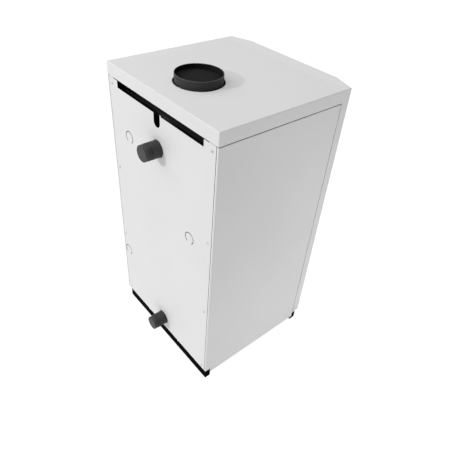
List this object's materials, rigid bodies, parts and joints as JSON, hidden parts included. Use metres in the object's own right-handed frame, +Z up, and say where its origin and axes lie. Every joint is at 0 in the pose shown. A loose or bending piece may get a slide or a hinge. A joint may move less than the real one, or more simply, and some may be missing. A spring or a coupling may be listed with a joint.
{
  "type": "floor-standing gas boiler",
  "caption": "Floor-standing open-flue gas boiler: white sheet-metal casing, top flue collar, rear flow and return pipes, steel heat exchanger, burner and controls inside.",
  "frame": {"origin": "on the floor, under the middle of the box round the whole object", "axes": "+Z up, the front faces -Y, the pipes point along +Y, and +X is the right-hand side seen from the front"},
  "size_m": [0.494, 0.528, 0.953],
  "materials": {
    "white_coat": "satin white powder coat",
    "black_coat": "matt black heat-resistant coat",
    "pipe_black": "dark mill-scale steel pipe",
    "dark_plastic": "matt dark grey moulded plastic",
    "fascia_plastic": "fine-grained grey moulded plastic",
    "zinc_steel": "zinc-plated sheet",
    "spring_steel": "bright spring steel",
    "stainless": "stainless sheet",
    "primer_steel": "dark grey heat-resistant primer",
    "valve_alloy": "die-cast alloy",
    "yellow_pipe": "yellow passivated gas pipe",
    "brass": "turned brass",
    "foil_wool": "foil-faced mineral wool",
    "chrome": "bright plated",
    "dial_white": "printed dial with plain numbers",
    "clear_glass": "clear",
    "rubber": "black rubber",
    "ceramic": "white ceramic",
    "sensor_body": "dark phenolic with tin-plated tabs"
  },
  "bodies": {
    "casing": {"burner_channels": "stainless", "burner_plate": "zinc_steel", "burner_port_plates": "stainless", "control_bracket": "zinc_steel", "control_panel": "fascia_plastic", "draught_hood": "black_coat", "exchanger_feet": "primer_steel", "exchanger_front_wall": "primer_steel", "exchanger_rear_wall": "primer_steel", "exchanger_side_walls": "primer_steel", "exchanger_top_bars": "primer_steel", "fire_side_walls": "primer_steel", "floor_plate": "zinc_steel", "flow_pipe": "pipe_black", "flue_baffles": "primer_steel", "flue_collar": "black_coat", "flueway_rear_walls": "primer_steel", "front_base_rail": "black_coat", "front_panel_clips": "spring_steel", "furnace_rear_wall": "primer_steel", "gas_injectors": "brass", "gas_inlet_pipe": "yellow_pipe", "gas_knob_spring": "spring_steel", "gas_manifold": "yellow_pipe", "gas_valve_body": "valve_alloy", "hood_deflector": "black_coat", "igniter_body": "chrome", "ignition_electrode": "ceramic", "insulation_front": "foil_wool", "insulation_rear": "foil_wool", "insulation_sides": "foil_wool", "left_side_panel": "white_coat", "lid_rest_pads": "rubber", "pilot_burner": "zinc_steel", "rail_end_plugs": "dark_plastic", "rear_base_rail": "black_coat", "rear_panel": "white_coat", "rear_panel_screws": "zinc_steel", "return_pipe": "pipe_black", "right_side_panel": "white_coat", "sight_glass": "clear_glass", "sight_glass_frame": "zinc_steel", "spillage_sensor": "sensor_body", "thermocouple": "stainless", "thermometer_case": "chrome", "thermometer_dial": "dial_white", "thermometer_lens": "clear_glass", "water_jacket_floor": "primer_steel", "water_leg_covers": "primer_steel"},
    "top_cover": {"top_cover": "white_coat"},
    "front_panel": {"front_panel": "white_coat", "front_panel_studs": "zinc_steel"},
    "flow_pipe_cap": {"flow_pipe_cap": "dark_plastic"},
    "return_pipe_cap": {"return_pipe_cap": "dark_plastic"},
    "flue_cover": {"flue_cover": "dark_plastic"},
    "gas_spindle": {"gas_spindle": "spring_steel"},
    "gas_knob": {"gas_knob": "dark_plastic"},
    "igniter_button": {"igniter_button": "dark_plastic"},
    "thermometer_needle": {"thermometer_needle": "dark_plastic"},
    "sight_flap": {"sight_flap": "zinc_steel"}
  },
  "joints": [
    {"name": "top_cover_lift", "type": "slide", "parent": "casing", "child": "top_cover", "axis": [0, 0, 1], "range_m": [0, 0.15]},
    {"name": "front_panel_pull", "type": "slide", "parent": "casing", "child": "front_panel", "axis": [0, -1, 0], "range_m": [0, 0.25]},
    {"name": "flow_cap_pull", "type": "slide", "parent": "casing", "child": "flow_pipe_cap", "axis": [0, 1, 0], "range_m": [0, 0.05]},
    {"name": "return_cap_pull", "type": "slide", "parent": "casing", "child": "return_pipe_cap", "axis": [0, 1, 0], "range_m": [0, 0.05]},
    {"name": "flue_cover_lift", "type": "slide", "parent": "casing", "child": "flue_cover", "axis": [0, 0, 1], "range_m": [0, 0.08]},
    {"name": "gas_knob_turn", "type": "hinge", "parent": "casing", "child": "gas_spindle", "pos_m": [-0.05, -0.24, 0.215], "axis": [0, -1, 0], "range_deg": [0, 270]},
    {"name": "gas_knob_press", "type": "slide", "parent": "gas_spindle", "child": "gas_knob", "axis": [0, 1, 0], "range_m": [0, 0.006], "stiffness_N_per_m": 400, "springref_m": -0.004},
    {"name": "igniter_press", "type": "slide", "parent": "casing", "child": "igniter_button", "axis": [0, 1, 0], "range_m": [0, 0.005], "stiffness_N_per_m": 600, "springref_m": -0.004},
    {"name": "needle_turn", "type": "hinge", "parent": "casing", "child": "thermometer_needle", "pos_m": [0, -0.2388, 0.285], "axis": [0, 1, 0], "range_deg": [-40, 200], "stiffness_Nm_per_rad": 0.002},
    {"name": "sight_flap_swing", "type": "hinge", "parent": "casing", "child": "sight_flap", "pos_m": [0.118, -0.1221, 0.267], "axis": [0, 1, 0], "range_deg": [-100, 100]}
  ]
}
